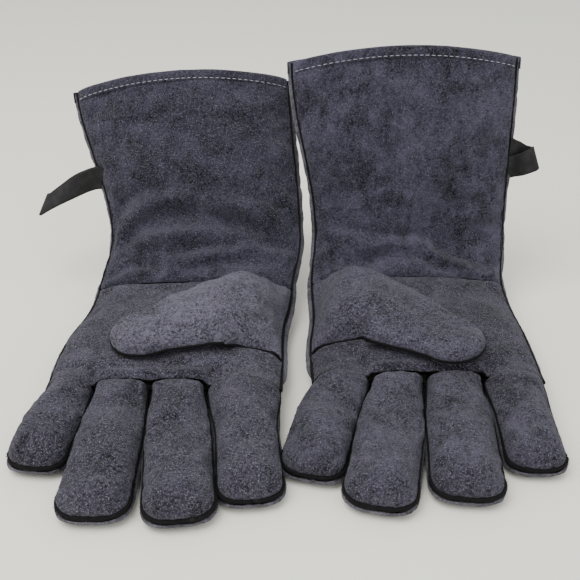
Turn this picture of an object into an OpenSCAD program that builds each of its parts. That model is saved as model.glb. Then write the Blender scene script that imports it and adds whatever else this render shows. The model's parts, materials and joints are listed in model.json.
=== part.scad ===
// Pair of gauntlet welding gloves, palm side up, hands lying flat and cuffs bent upright at the wrist.
// Each glove is drawn in its own frame: x across the hand towards the thumb side, y from the
// fingertips (-) to the cuff (+), z up from the surface that it lies on, origin under the wrist seam.

/* [Hand] */
// Length of the hand from the wrist seam to the finger seam
hand_len = 118; // [100:1:130]
// Width of the hand over the finger seam
knuckle_w = 152; // [145:1:170]
// Width of the hand at the wrist seam
wrist_w = 148; // [130:1:165]
// Thickness of the hand from the back to the palm
hand_t = 30; // [24:1:38]
// How far the ball of the thumb stands out of the hand's side
thumb_ball = 0; // [0:0.5:6]

/* [Cuff] */
// Length of the cuff at its sides, from the wrist seam to the hem
cuff_len = 177; // [100:1:220]
// Width of the cuff above the bend
waist_w = 149; // [130:1:165]
// Width of the cuff at the hem
hem_w = 171; // [150:1:174]
// Thickness of the flattened cuff at the hem
cuff_t = 22; // [16:1:34]
// How much longer the cuff is in the middle than at its sides
hem_arch = 10; // [0:1:20]
// Length of cuff over which the wrist bends
bend_len = 60; // [40:1:80]
// Width of the turned hem
hem_band = 8; // [5:0.5:14]

/* [Leather] */
// Thickness of the split leather
leather_t = 1.8; // [1.2:0.1:2.4]
// Thickness of the fleece lining
lining_t = 2.2; // [1:0.1:3]
// Thickness of the welt strip in a seam
welt_t = 1.6; // [1:0.1:2.4]
// How far a welt stands out of its seam
welt_out = 1.6; // [0.8:0.1:3]

/* [Fingers] */
// Thickness of a finger
finger_t = 27; // [22:1:32]
// Length of the longest finger beyond the finger seam
finger_len = 106; // [80:1:115]
// Width of the widest finger
finger_w = 41; // [36:1:43]

/* [Thumb] */
// Length of the thumb from its hinge line to its tip
thumb_len = 96; // [80:1:105]
// Width of the thumb near its tip
thumb_w = 41; // [32:1:44]
// Thickness of the thumb
thumb_t = 18; // [14:1:22]

/* [Hanging loop] */
// Width of the loop strap
strap_w = 18; // [12:1:25]
// Thickness of the loop strap
strap_t = 1.8; // [1.2:0.1:2.5]
// Reach of the loop beyond the cuff seam
loop_len = 44; // [25:1:60]
// Gap between the two runs of the strap
loop_gap = 7; // [5:0.5:12]
// Distance of the loop from the hem, along the cuff
loop_down = 73; // [50:1:110]

/* [Hidden] */
gap = 0.3;              // air between pieces that only touch
palm_h = hand_t / 2;    // height of the side seams over the surface
lining_gap = 1.2;       // air between a leather and its lining
foot = leather_t + lining_gap; // lowest height of the lining
seam = welt_t / 2 + gap; // half of the room that a welt takes between two panels
joint_gap = 1.5;        // air between two bodies at a fold
heel_len = 40;          // length of hand over which the heel of the hand lifts
heel_pitch = 20;        // slope of the wrist over the surface
loop_gap_in = 2;        // room that the loop needs at its seam to turn
lining_p = 0.97;        // share of the hand's width that the lining takes
welt_side = 0.15;       // share of the welt's reach that shows along the sides of a finger
seam_step = 1.5;        // how much lower a finger's seam starts than the hand's
stitch_len = 3.2;       // length of one hem stitch
stitch_pitch = 4.6;     // distance from one stitch to the next
stitch_d = 0.9;         // thickness of the thread
stitch_p = 0.9;         // share of the hem's width that the stitches take
hem_p = 0.985;          // share of the cuff's width that the turned hem takes
straight = 0.62;        // share of a finger's length with parallel rows, the rest is its tip
thumb_straight = 0.66;  // the same for the thumb

// Each glove: name, mirrored or not, place of its wrist, final slope of its cuff, sideways shift towards the
// thumb side at the wrist, above it and at the hem, rise of the hem's thumb side, turn of the thumb,
// reach and droop of the hanging loop as shares of the loop's length, length of cuff lost in its creases.
LEFT = ["left", 0, [-78.9, 52.6, 0], 57, [9, 15, -5], 5, 32, 1, 0.5, 9];
RIGHT = ["right", 1, [92.9, 60.6, 0], 74, [0, -4, 4], -2, 41, 0.45, 0.2, 0];
// Each finger: name, distance of its base from the hand's middle, outward turn, then its length, its width
// and its width at the base as shares of the longest and the widest finger.
LEFT_FINGERS = [["index", 50.9, 5.7, 0.86, 0.83, 1.04], ["middle", 8.9, 7, 1, 0.96, 0.77],
                ["ring", -26.9, 0, 0.975, 0.98, 0.77], ["little", -61.2, -6.5, 0.61, 0.85, 0.72]];
RIGHT_FINGERS = [["index", 59.9, 14.6, 0.77, 0.88, 0.96], ["middle", 20.2, 12.2, 1, 0.99, 0.76],
                 ["ring", -16.6, 4.5, 0.92, 1, 0.82], ["little", -55.2, 1, 0.7, 0.84, 0.85]];

FINGER_PARTS = ["front", "back", "welt"];
HAND_NODES = ["palm_panel", "back_panel", "thumb_wing", "palm_lining", "back_lining", "hand_welts",
              "thumb_front", "thumb_back", "thumb_welt",
              "cuff_front", "cuff_back", "cuff_welts", "cuff_hem", "hem_stitching", "hanging_loop"];

leather_grey = [0.30, 0.30, 0.34];
strap_black = [0.07, 0.07, 0.08];
fleece_grey = [0.62, 0.60, 0.56];
thread_grey = [0.66, 0.67, 0.70];

// ---- curves ----
function smooth(u) = let (c = min(1, max(0, u))) c * c * (3 - 2 * c);
function blend(table, v, i = 0) = // smooth values between the [place, value] pairs of a table
    v <= table[0][0] ? table[0][1]
    : i >= len(table) - 1 ? table[len(table) - 1][1]
    : v > table[i + 1][0] ? blend(table, v, i + 1)
    : let (a = table[i], b = table[i + 1]) a[1] + (b[1] - a[1]) * smooth((v - a[0]) / (b[0] - a[0]));
function lens(p) = pow(max(0, 1 - p * p), 0.62); // share of the bulge across a panel, 0 at its seams
function round_tip(e, r) = e >= r ? 1 : sqrt(max(0.004, 1 - pow(1 - max(0, e) / r, 2)));
function spread(n) = [for (j = [0:n]) -cos(180 * j / n)]; // places across a panel, closer at the seams

// ---- sleeve: hand and cuff as one bent tube, s measured from the wrist seam ----
heel_r = heel_len / (heel_pitch * PI / 180);
function half_w(s) = blend([[-hand_len, knuckle_w / 2], [-60, (knuckle_w + 2) / 2], [0, wrist_w / 2],
                            [45, waist_w / 2], [cuff_len, hem_w / 2]], s);
function front_h(s) = blend([[-hand_len, finger_t / 2 + 1], [-50, hand_t / 2 + 1], [0, hand_t / 2 - 2],
                             [45, cuff_t / 2 + 2], [cuff_len, cuff_t / 2]], s);
function back_h(s) = blend([[-50, hand_t / 2 + 1], [0, hand_t / 2],
                            [45, cuff_t / 2 + 2], [cuff_len, cuff_t / 2]], s);
function slope(g, s) = s <= -heel_len ? 0
    : s <= 0 ? heel_pitch * (s + heel_len) / heel_len
    : s <= bend_len ? heel_pitch + (g[3] - heel_pitch) * s / bend_len : g[3];
function spine(g, s) = // [y, z] of the tube's middle
    let (v = slope(g, s), bend_r = bend_len / ((g[3] - heel_pitch) * PI / 180))
    s <= -heel_len ? [s + heel_len - heel_r * sin(heel_pitch), palm_h]
    : s <= 0 ? [heel_r * (sin(v) - sin(heel_pitch)), palm_h + heel_r * (1 - cos(v))]
    : s <= bend_len
        ? [bend_r * (sin(v) - sin(heel_pitch)), spine(g, 0)[1] + bend_r * (cos(heel_pitch) - cos(v))]
    : spine(g, bend_len) + (s - bend_len) * [cos(v), sin(v)];
function hem_s(g, p) = cuff_len - g[9] + hem_arch * (1 - p * p) + g[5] * p; // where the hem is
function shift(g, s) = blend([[-80, 0], [0, g[4][0]], [45, g[4][1]], [cuff_len, g[4][2]]], s);
function ball(s, p) = p < 0 || s < wing_s[0] || s > 0 ? 0 : thumb_ball * pow(sin(180 * s / wing_s[0]), 2);
// A point of the sleeve: p across it from -1 to 1, side 1 for the palm and -1 for the back, off inwards
// from the outer face, low the least height of the point over the surface.
function sleeve(g, s, p, side, off, low = 0, rise = 0) =
    let (v = slope(g, s), c = spine(g, s), h = side > 0 ? front_h(s) : back_h(s),
         d = side * (seam + (h - seam - off) * lens(p)) + rise)
    [shift(g, s) + (half_w(s) + ball(s, p) - off) * p, c[0] - d * sin(v), max(low, c[1] + d * cos(v))];

// ---- thin closed solids between two grids of points ----
// outer and inner are lists of rows of points; turn flips the faces of a panel that looks the other way.
module shell(outer, inner, turn = false) {
    m = len(outer) - 1;
    n = len(outer[0]) - 1;
    k = (m + 1) * (n + 1);
    function id(i, j) = i * (n + 1) + j;
    function quad(a, b, c, d) = [[a, b, c], [a, c, d]];
    faces = [
        for (i = [0:m - 1], j = [0:n - 1]) each quad(id(i, j), id(i, j + 1), id(i + 1, j + 1), id(i + 1, j)),
        for (i = [0:m - 1], j = [0:n - 1])
            each quad(k + id(i, j), k + id(i + 1, j), k + id(i + 1, j + 1), k + id(i, j + 1)),
        for (i = [0:m - 1]) each quad(id(i, 0), id(i + 1, 0), k + id(i + 1, 0), k + id(i, 0)),
        for (i = [0:m - 1]) each quad(id(i + 1, n), id(i, n), k + id(i, n), k + id(i + 1, n)),
        for (j = [0:n - 1]) each quad(id(0, j + 1), id(0, j), k + id(0, j), k + id(0, j + 1)),
        for (j = [0:n - 1]) each quad(id(m, j), id(m, j + 1), k + id(m, j + 1), k + id(m, j))
    ];
    polyhedron([each for (row = outer) row, each for (row = inner) row],
               [for (f = faces) turn ? f : [f[2], f[1], f[0]]], convexity = 6);
}

// A strip of rectangular section along two lists of points: ends of the section's inner and outer edges.
module strip(inner, outer, thick) {
    up = [0, 0, thick / 2];
    shell([[for (p = outer) p + up], [for (p = outer) p - up]],
          [[for (p = inner) p + up], [for (p = inner) p - up]]);
}

// ---- hand ----
wing_s = [-86, -joint_gap]; // stretch of the side seam that the thumb's leather takes
thumb_line = 43;            // distance of the thumb's fold from the hand's middle
wing_gap = 1;               // room between the palm leather's edge and the thumb's leather
function fold_x(g) = thumb_line + shift(g, wing_s[0] / 2);
function p_at(g, s, x) = (x - shift(g, s)) / (half_w(s) + ball(s, 1)); // place across the hand of a given x
wing_rise = 18;             // height of the thumb's base over the palm
hand_rows = concat([for (i = [0:3]) -hand_len + (wing_s[0] - seam + hand_len) * i / 3],
                   [for (i = [0:6]) wing_s[0] - gap + (-joint_gap / 2 - wing_s[0] + gap) * i / 6]);
function palm_edge(g, s) = s < wing_s[0] - gap ? 1 : p_at(g, s, fold_x(g) - wing_gap);
function panel_p(n, last) = [for (p = spread(n)) -1 + (p + 1) * (last + 1) / 2];
function hand_grid(g, side, off, low, rows, whole) =
    [for (s = rows) [for (p = panel_p(10, whole ? 1 : palm_edge(g, s))) sleeve(g, s, p, side, off, low)]];

module palm_panel(g) color(leather_grey)
    shell(hand_grid(g, 1, 0, 0, hand_rows, false), hand_grid(g, 1, leather_t, 0, hand_rows, false));

module back_panel(g) color(leather_grey)
    shell(hand_grid(g, -1, 0, 0, hand_rows, true),
          hand_grid(g, -1, leather_t, leather_t, hand_rows, true), true);

function wing_bump(s) = pow(max(0, sin(180 * (s - wing_s[0]) / (wing_s[1] - wing_s[0]))), 0.7);
function wing_grid(g, off) =
    [for (i = [0:8]) let (s = wing_s[0] + (wing_s[1] - wing_s[0]) * i / 8)
        [for (j = [0:5]) let (u = j / 5, low = p_at(g, s, fold_x(g)), p = low + (1 - low) * u)
            sleeve(g, s, p, 1, off, 0, wing_rise * wing_bump(s) * pow(1 - u, 0.8))]];
module thumb_wing(g) color(leather_grey) shell(wing_grid(g, 0), wing_grid(g, leather_t));

lining_rows = [for (i = [0:6]) -hand_len + 3 + (hand_len - 6) * i / 6];
lining_out = leather_t + lining_gap;
function lining_grid(g, side, off, low, last) =
    [for (s = lining_rows) [for (p = panel_p(8, last)) sleeve(g, s, p * lining_p, side, off, low)]];
module palm_lining(g) color(fleece_grey)
    shell(lining_grid(g, 1, lining_out, 0, 0.5), lining_grid(g, 1, lining_out + lining_t, 0, 0.5));
module back_lining(g) color(fleece_grey)
    shell(lining_grid(g, -1, lining_out, foot, 1),
          lining_grid(g, -1, lining_out + lining_t, foot + lining_t, 1), true);

// Welt along a side seam of the sleeve, between the distances from and to.
module side_welt(g, p, from, to, n) {
    rows = [for (i = [0:n]) from + (to - from) * i / n];
    function edge(s, out) = let (c = spine(g, s))
        [shift(g, s) + p * (half_w(s) + ball(s, p) + out), c[0], c[1]];
    function lift(s) = let (v = slope(g, s)) [0, -sin(v), cos(v)] * welt_t / 2;
    outer = [[for (s = rows) edge(s, welt_out) + lift(s)], [for (s = rows) edge(s, welt_out) - lift(s)]];
    inner = [[for (s = rows) edge(s, -leather_t) + lift(s)], [for (s = rows) edge(s, -leather_t) - lift(s)]];
    shell(outer, inner, p < 0);
}
module hand_welts(g) color(strap_black) {
    side_welt(g, 1, -hand_len, -joint_gap / 2, 8);
    side_welt(g, -1, -hand_len, -joint_gap / 2, 8);
}

// ---- cuff ----
cuff_start = joint_gap / 2;
cuff_rows = 11; // rows of points along the cuff, the same for its leather and its welts
function cuff_grid(g, side, off) =
    [for (i = [0:cuff_rows])
        [for (p = spread(10))
            let (s = cuff_start + (hem_s(g, p) - cuff_start) * i / cuff_rows) sleeve(g, s, p, side, off)]];
module cuff_front(g) color(leather_grey)
    shell(cuff_grid(g, 1, 0), cuff_grid(g, 1, leather_t));
module cuff_back(g) color(leather_grey)
    shell(cuff_grid(g, -1, 0), cuff_grid(g, -1, leather_t), true);
module cuff_welts(g) color(strap_black) {
    side_welt(g, 1, cuff_start, hem_s(g, 1), cuff_rows);
    side_welt(g, -1, cuff_start, hem_s(g, -1), cuff_rows);
}
hem_out = -leather_t * 0.7; // outer face of the turned hem
module cuff_hem(g) color(leather_grey) {
    shell(hem_grid(g, 1, hem_out), hem_grid(g, 1, -gap / 2));
    shell(hem_grid(g, -1, hem_out), hem_grid(g, -1, -gap / 2), true);
}
function hem_grid(g, side, off) =
    [for (i = [0:1]) [for (p = spread(12))
        sleeve(g, hem_s(g, p * hem_p) - hem_band * (1 - i), p * hem_p, side, off)]];
stitch_count = floor((hem_w - 16) / stitch_pitch);
step = 0.01; // small step across the cuff, to find how its surface leans
stitch_lift = 2 * gap; // height of a stitch over the leather that it is sewn into
module hem_stitching(g) color(thread_grey)
    for (side = [-1, 1], i = [0:stitch_count]) {
        p = (2 * i / stitch_count - 1) * stitch_p;
        s = hem_s(g, p) - hem_band - stitch_d;
        fall = (cuff_t / 2 - seam) * (lens(p - step) - lens(p + step)) / (hem_w * step);
        translate(sleeve(g, s, p, side, -stitch_d / 2 - stitch_lift))
            rotate([slope(g, s), 0, 0])
                rotate([0, side * atan(fall), 0])
                    cube([stitch_len, stitch_d, stitch_d], center = true);
    }

// ---- fingers ----
function finger_half(f, d, off) =
    let (l = f[3] * finger_len - off, w = f[4] * finger_w / 2, base = f[5] * finger_w / 2)
    max(1.2, (base + (w - base) * smooth(d / (0.5 * l))) * round_tip(l - d, w * 0.8) - off);
base_lift = palm_h - seam_step - finger_t / 2; // a finger's seam meets the hand's seam at its base
function finger_pt(g, f, d, p, side, off, low = 0) =
    let (l = f[3] * finger_len - off, w = finger_half(f, d, off),
         h = (finger_t / 2 - seam - off) * (0.35 + 0.65 * round_tip(l - d, f[4] * finger_w * 0.5)),
         mid = finger_t / 2 + base_lift * (1 - smooth(d / (0.4 * l))) - 3 * smooth((d - 0.4 * l) / (0.6 * l)),
         z = mid + side * (seam + h * lens(p)),
         x = w * p, q = f[2] * smooth(d / 30))
    [f[1] + d * sin(f[2]) + x * cos(q),
     spine(g, -hand_len)[0] - joint_gap - d * cos(f[2]) + x * sin(q),
     max(low, z)];
function finger_rows(f, off) = let (l = f[3] * finger_len - off)
    [for (i = [0:5]) l * straight * i / 5, for (a = [20:17.5:90]) l * (straight + (1 - straight) * sin(a))];
function finger_grid(g, f, side, off, low) =
    [for (d = finger_rows(f, off)) [for (p = spread(6)) finger_pt(g, f, d, p, side, off, low)]];
module finger_front(g, f) color(leather_grey)
    shell(finger_grid(g, f, 1, 0, 0), finger_grid(g, f, 1, leather_t, 0), true);
module finger_back(g, f) color(leather_grey)
    shell(finger_grid(g, f, -1, 0, 0), finger_grid(g, f, -1, leather_t, leather_t));
function there_and_back(rows, n) = concat([for (i = [0:n]) [rows[i], -1]], [for (i = [n:-1:0]) [rows[i], 1]]);
function welt_reach(f, d) = // a finger's welt stands out fully at the tip only, clear of its neighbours
    -welt_out * (welt_side + (1 - welt_side) * smooth((d / (f[3] * finger_len) - 0.6) / 0.25));
function finger_edge(g, f, out) = // inner or outer line of the welt, round the finger
    let (rows = finger_rows(f, out ? -welt_out : leather_t))
    [for (r = there_and_back(rows, len(rows) - 1)) let (off = out ? welt_reach(f, r[0]) : leather_t)
        (finger_pt(g, f, r[0], r[1], 1, off) + finger_pt(g, f, r[0], r[1], -1, off)) / 2];
module finger_welt(g, f) color(strap_black)
    strip(finger_edge(g, f, false), finger_edge(g, f, true), welt_t);

// ---- thumb: lies across the palm, folds at a line near the thumb side ----
thumb_seam = hand_t + 7.5; // height of the thumb's seams, over the palm
thumb_base = -wing_s[0] - 10; // width of the thumb at its fold
thumb_under = 3.2; // depth of the thumb's back below its seams
function thumb_mid(g, d) = [fold_x(g) - joint_gap - d * cos(g[6]), wing_s[0] / 2 - d * sin(g[6])];
function thumb_half(d, off) =
    let (l = thumb_len - off, base = thumb_base / 2)
    max(1.2, (base + (thumb_w / 2 - base) * smooth(d / (0.8 * l))) * round_tip(l - d, thumb_w * 0.45) - off);
function thumb_pt(g, d, p, side, off) =
    let (c = thumb_mid(g, d), w = thumb_half(d, off), q = g[6] * smooth(d / 45),
         h = (side > 0 ? thumb_t - thumb_under : thumb_under) - seam,
         fall = 3 * smooth(d / thumb_len))
    [c[0] - w * p * sin(q), c[1] + w * p * cos(q),
     thumb_seam - fall
     + side * (seam + max(gap, h - off) * lens(p) * round_tip(thumb_len - off - d, thumb_w * 0.5))];
function thumb_rows(off) = let (l = thumb_len - off)
    [for (i = [0:5]) l * thumb_straight * i / 5,
     for (a = [20:17.5:90]) l * (thumb_straight + (1 - thumb_straight) * sin(a))];
function thumb_grid(g, side, off) =
    [for (d = thumb_rows(off)) [for (p = spread(6)) thumb_pt(g, d, p, side, off)]];
module thumb_front(g) color(leather_grey) shell(thumb_grid(g, 1, 0), thumb_grid(g, 1, leather_t), true);
module thumb_back(g) color(leather_grey) shell(thumb_grid(g, -1, 0), thumb_grid(g, -1, leather_t));
function thumb_edge(g, off) = let (rows = thumb_rows(off))
    [for (r = there_and_back(rows, len(rows) - 1))
        (thumb_pt(g, r[0], r[1], 1, off) + thumb_pt(g, r[0], r[1], -1, off)) / 2];
module thumb_welt(g) color(strap_black) strip(thumb_edge(g, leather_t), thumb_edge(g, -welt_out), welt_t);

// ---- hanging loop: a folded strap out of the cuff's little-finger seam ----
loop_r = loop_gap / 2;
function loop_path(g, r) = let (reach = g[7] * loop_len) // the strap's run out, its fold and its run back
    concat([for (i = [0:5]) [-loop_gap_in - (reach - loop_gap_in - loop_r) * i / 5, -loop_foot(i / 5, r)]],
           [for (a = [-60:30:60]) [-reach - r * cos(a), r * sin(a)]],
           [for (i = [5:-1:0]) [-loop_gap_in - (reach - loop_gap_in - loop_r) * i / 5, loop_foot(i / 5, r)]]);
function loop_foot(u, r) = // distance of a run from the middle: the runs meet at the seam
    gap / 2 + (r - loop_r) + (loop_r - gap / 2) * smooth(2 * u);
function loop_side(g, r) =
    [for (p = loop_path(g, r)) let (z = -g[8] * loop_len * pow(min(1, -p[0] / (g[7] * loop_len)), 1.5))
        [[p[0], p[1], z - strap_w / 2], [p[0], p[1], z + strap_w / 2]]];
module hanging_loop(g) color(strap_black) {
    s = cuff_len - g[9] - loop_down;
    c = spine(g, s);
    translate([shift(g, s) - half_w(s) - welt_out - gap, c[0], c[1]])
        shell(loop_side(g, loop_r + strap_t), loop_side(g, loop_r));
}

// ---- the pair ----
module place(g) translate(g[2]) mirror([g[1], 0, 0]) children();

GLOVES = [[LEFT, LEFT_FINGERS], [RIGHT, RIGHT_FINGERS]];
for (pair = GLOVES) {
    g = pair[0];
    place(g) palm_panel(g);
    place(g) back_panel(g);
    place(g) thumb_wing(g);
    place(g) palm_lining(g);
    place(g) back_lining(g);
    place(g) hand_welts(g);
    place(g) thumb_front(g);
    place(g) thumb_back(g);
    place(g) thumb_welt(g);
    place(g) cuff_front(g);
    place(g) cuff_back(g);
    place(g) cuff_welts(g);
    place(g) cuff_hem(g);
    place(g) hem_stitching(g);
    place(g) hanging_loop(g);
    for (f = pair[1]) {
        place(g) finger_front(g, f);
        place(g) finger_back(g, f);
        place(g) finger_welt(g, f);
    }
}
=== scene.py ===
"""A pair of long-cuff welding gloves in napped split leather, built around the frame of their bodies."""
import json
import math
from collections import namedtuple

import bmesh
import bpy
import numpy as np
from bpy.props import FloatProperty, FloatVectorProperty, PointerProperty
from bpy.types import Operator, Panel, PropertyGroup
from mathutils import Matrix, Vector, noise


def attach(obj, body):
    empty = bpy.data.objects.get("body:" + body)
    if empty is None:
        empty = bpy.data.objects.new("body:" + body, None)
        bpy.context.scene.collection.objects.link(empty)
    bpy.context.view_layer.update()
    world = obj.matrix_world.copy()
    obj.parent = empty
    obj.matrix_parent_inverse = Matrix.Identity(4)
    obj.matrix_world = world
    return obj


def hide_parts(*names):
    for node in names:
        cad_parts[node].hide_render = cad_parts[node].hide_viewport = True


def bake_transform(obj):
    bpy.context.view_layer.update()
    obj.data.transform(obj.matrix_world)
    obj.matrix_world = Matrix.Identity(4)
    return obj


bl_info = {
    "name": "Welding Gloves",
    "version": (1, 0, 0),
    "blender": (4, 5, 0),
    "location": "View3D > Sidebar > Gloves",
    "description": "Builds a pair of split-leather welding gloves around their frame",
    "category": "Object",
}

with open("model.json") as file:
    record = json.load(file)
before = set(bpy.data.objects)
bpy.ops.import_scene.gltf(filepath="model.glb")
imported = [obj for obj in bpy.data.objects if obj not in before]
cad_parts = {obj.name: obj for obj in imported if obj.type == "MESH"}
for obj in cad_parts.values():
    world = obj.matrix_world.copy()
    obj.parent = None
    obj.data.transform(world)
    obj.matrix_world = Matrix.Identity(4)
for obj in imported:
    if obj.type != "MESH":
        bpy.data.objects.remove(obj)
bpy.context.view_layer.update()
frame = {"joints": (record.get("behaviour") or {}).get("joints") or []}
JOINTS = {joint["name"]: joint for joint in frame["joints"]}
MM = 0.001

# ---- sizes, in millimetres, in each glove's own frame: x to the thumb side, y to the cuff, z up ----
HAND_LEN, CUFF_LEN, BEND_LEN = 118.0, 177.0, 60.0
KNUCKLE_W, WRIST_W, WAIST_W, HEM_W = 152.0, 148.0, 149.0, 171.0
HAND_T, CUFF_T, FINGER_T = 30.0, 22.0, 27.0
HEEL_LEN, HEEL_PITCH = 40.0, 20.0
HEM_ARCH, HEM_BAND = 10.0, 8.0
FINGER_LEN, FINGER_W = 106.0, 41.0
THUMB_LEN, THUMB_W, THUMB_T, THUMB_UNDER = 96.0, 41.0, 18.0, 3.2
THUMB_LINE, THUMB_SEAM, THUMB_HOLLOW = 43.0, 37.5, -3.0
WING_START = -86.0
HINGE_BACK_OF_WRIST = 15.0
HEEL_RADIUS = HEEL_LEN / math.radians(HEEL_PITCH)
LEATHER, THIN_LEATHER, HEM_LEATHER, FLEECE = 1.8, 1.2, 0.9, 1.6
SEAM = 1.1              # half of the room that a welt takes between two leathers
WEB = 0.5               # half of the room between two fingers at their base
BACK_ROLL = 5.5         # how far the back leather rolls out beyond the seam
WING_REACH = 36.0       # from the thumb's fold out to the side seam
CREASE_SPAN = 75.0      # a crease's places across are shares of this
FIBRE_LEN = 1.5         # the longest loose fibre of a welt
STITCH_PITCH, STITCH_LEN, STITCH_W, STITCH_T = 4.4, 3.3, 0.75, 0.6
STITCH_LINE = HEM_BAND - 1.6
LOOP_LEN, LOOP_W, LOOP_T, LOOP_GAP = 44.0, 18.0, 1.7, 3.5
CLOTH_FRAMES = 14

# ---- the view: place in metres, degrees that it looks down, focal length ----
CAMERA_PLACE, CAMERA_DOWN, CAMERA_LENS = (0.0024, -0.4791, 0.3293), 30.0, 49.66
FLOOR_COLOR, SKY_COLOR, SKY_STRENGTH = (0.93, 0.925, 0.835), (1.0, 1.0, 0.99, 1.0), 1.03

# A finger: its name, its distance from the hand's middle, its outward turn in degrees, and its length, its
# width and its width at the base as shares of FINGER_LEN and FINGER_W.
Finger = namedtuple("Finger", "name x turn length width base")


class Glove:
    """One glove: its place from the frame's joints, and the few sizes in which the two gloves differ.

    flip is 1 for the left hand and -1 for the right. pitch is the cuff's slope. shifts are how far the
    middle line lies aside at the wrist, the waist and the hem. rise is how much further the hem reaches on
    the thumb's side, and lost how much shorter the cuff is. turn is the thumb's direction, and fullness its
    extra width at the fold, halfway and near the tip. loop is how far the hanging loop reaches and droops,
    as shares of its length, and how far its two runs part at the seam. A crease is its distance above the
    wrist and its place across at both ends, its height and its width."""

    def __init__(self, name, *, flip, pitch, shifts, rise, lost, turn, thumb_len, fullness, loop, seed,
                 fingers, creases):
        self.name, self.flip, self.seed = name, flip, seed
        self.pitch, self.shifts, self.rise, self.lost = pitch, shifts, rise, lost
        self.turn, self.thumb_len, self.thumb_fullness = turn, thumb_len, fullness
        self.reach, self.droop, self.splay = loop
        self.fingers = [Finger(*sizes) for sizes in fingers]
        self.creases = creases
        wrist = JOINTS[name + "_wrist"]["pos_m"]
        back = HINGE_BACK_OF_WRIST * math.sin(math.radians(HEEL_PITCH))
        self.origin = Vector((wrist[0] / MM, wrist[1] / MM - back, 0.0))

    def place(self, points):
        """Points of the glove's own frame, in mm, as points of the row frame, in metres."""
        points = np.asarray(points, float).copy()
        points[..., 0] *= self.flip
        return (points + np.array(self.origin)) * MM

    def body(self, part):
        return f"{self.name}_{part}"


LEFT = Glove(
    "left", flip=1, pitch=57.0, shifts=(9.0, 15.0, -5.0), rise=5.0, lost=9.0,
    turn=32.0, thumb_len=96.0, fullness=(6.0, 6.0, 1.5), loop=(1.0, 0.5, 0.0), seed=3,
    fingers=[("index", 51.1, 5.7, 0.86, 0.90, 1.04), ("middle", 8.9, 7.0, 1.0, 0.96, 0.77),
             ("ring", -26.9, 0.0, 0.975, 0.98, 0.77), ("little", -61.2, -6.5, 0.61, 0.85, 0.72)],
    creases=[(44, -1.0, 78, -0.2, 3.2, 7), (30, -0.9, 40, 0.2, 2.6, 6), (58, -0.5, 52, 0.45, -2.6, 8),
             (16, -0.3, 26, 0.9, 2.4, 6), (70, 0.1, 46, 0.95, 2.2, 8), (8, -0.95, 14, -0.35, -2.0, 5)])
RIGHT = Glove(
    "right", flip=-1, pitch=74.0, shifts=(0.0, -4.0, 4.0), rise=-2.0, lost=0.0,
    turn=42.0, thumb_len=101.0, fullness=(5.0, 9.0, 4.5), loop=(0.36, 0.0, 7.0), seed=7,
    fingers=[("index", 59.3, 14.6, 0.77, 0.92, 0.96), ("middle", 20.2, 12.2, 1.0, 0.99, 0.76),
             ("ring", -16.6, 4.5, 0.92, 1.0, 0.82), ("little", -55.2, 1.0, 0.7, 0.84, 0.85)],
    creases=[(46, 0.9, 34, -0.1, 1.8, 7), (34, -0.1, 8, -0.9, 2.2, 6), (20, 0.85, 24, 0.2, -1.6, 6),
             (60, -0.95, 48, -0.4, 1.4, 8)])
GLOVES = (LEFT, RIGHT)


# ---- curves shared by all pieces ----
def smooth(u):
    u = np.clip(u, 0.0, 1.0)
    return u * u * (3 - 2 * u)


def through(stations, v):
    """A smooth run between (place, value) stations."""
    v = np.asarray(v, float)
    out = np.full(v.shape, float(stations[0][1]))
    for (a, value_a), (b, value_b) in zip(stations, stations[1:]):
        out = np.where(v > a, value_a + (value_b - value_a) * smooth((v - a) / (b - a)), out)
    return out


def half_width(s):
    """Half of the width of hand and cuff at s, which runs along the spine from the wrist towards the hem."""
    return through([(-HAND_LEN, KNUCKLE_W / 2), (-60, (KNUCKLE_W + 2) / 2), (0, WRIST_W / 2),
                    (45, WAIST_W / 2), (CUFF_LEN, HEM_W / 2)], s)


def palm_height(s):
    return through([(-HAND_LEN, FINGER_T / 2 + 1), (-50, HAND_T / 2 + 1), (0, HAND_T / 2 - 2),
                    (45, CUFF_T / 2 + 2), (CUFF_LEN, CUFF_T / 2)], s)


def back_height(s):
    return through([(-HAND_LEN, FINGER_T / 2 + 1), (-50, HAND_T / 2 + 1), (0, HAND_T / 2),
                    (45, CUFF_T / 2 + 2), (CUFF_LEN, CUFF_T / 2)], s)


def pitch_at(glove, s):
    heel = HEEL_PITCH * np.clip((s + HEEL_LEN) / HEEL_LEN, 0, 1)
    return heel + (glove.pitch - HEEL_PITCH) * np.clip(s / BEND_LEN, 0, 1)


def spine(glove, s):
    """The middle line of hand and cuff: y, z and the slope in radians."""
    s = np.asarray(s, float)
    slope = np.radians(pitch_at(glove, s))
    heel = math.radians(HEEL_PITCH)
    bend_radius = BEND_LEN / math.radians(glove.pitch - HEEL_PITCH)
    flat_y = s + HEEL_LEN - HEEL_RADIUS * math.sin(heel)
    heel_y = HEEL_RADIUS * (np.sin(slope) - math.sin(heel))
    heel_z = HAND_T / 2 + HEEL_RADIUS * (1 - np.cos(slope))
    wrist_z = HAND_T / 2 + HEEL_RADIUS * (1 - math.cos(heel))
    beyond = np.clip(s - BEND_LEN, 0, None)
    cuff_y = bend_radius * (np.sin(slope) - math.sin(heel)) + beyond * np.cos(slope)
    cuff_z = wrist_z + bend_radius * (math.cos(heel) - np.cos(slope)) + beyond * np.sin(slope)
    y = np.where(s <= -HEEL_LEN, flat_y, np.where(s <= 0, heel_y, cuff_y))
    z = np.where(s <= -HEEL_LEN, HAND_T / 2, np.where(s <= 0, heel_z, cuff_z))
    return y, z, slope


def shift(glove, s):
    """How far the middle line lies aside."""
    a, b, c = glove.shifts
    return through([(-80, 0), (0, a), (45, b), (CUFF_LEN, c)], s)


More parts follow.
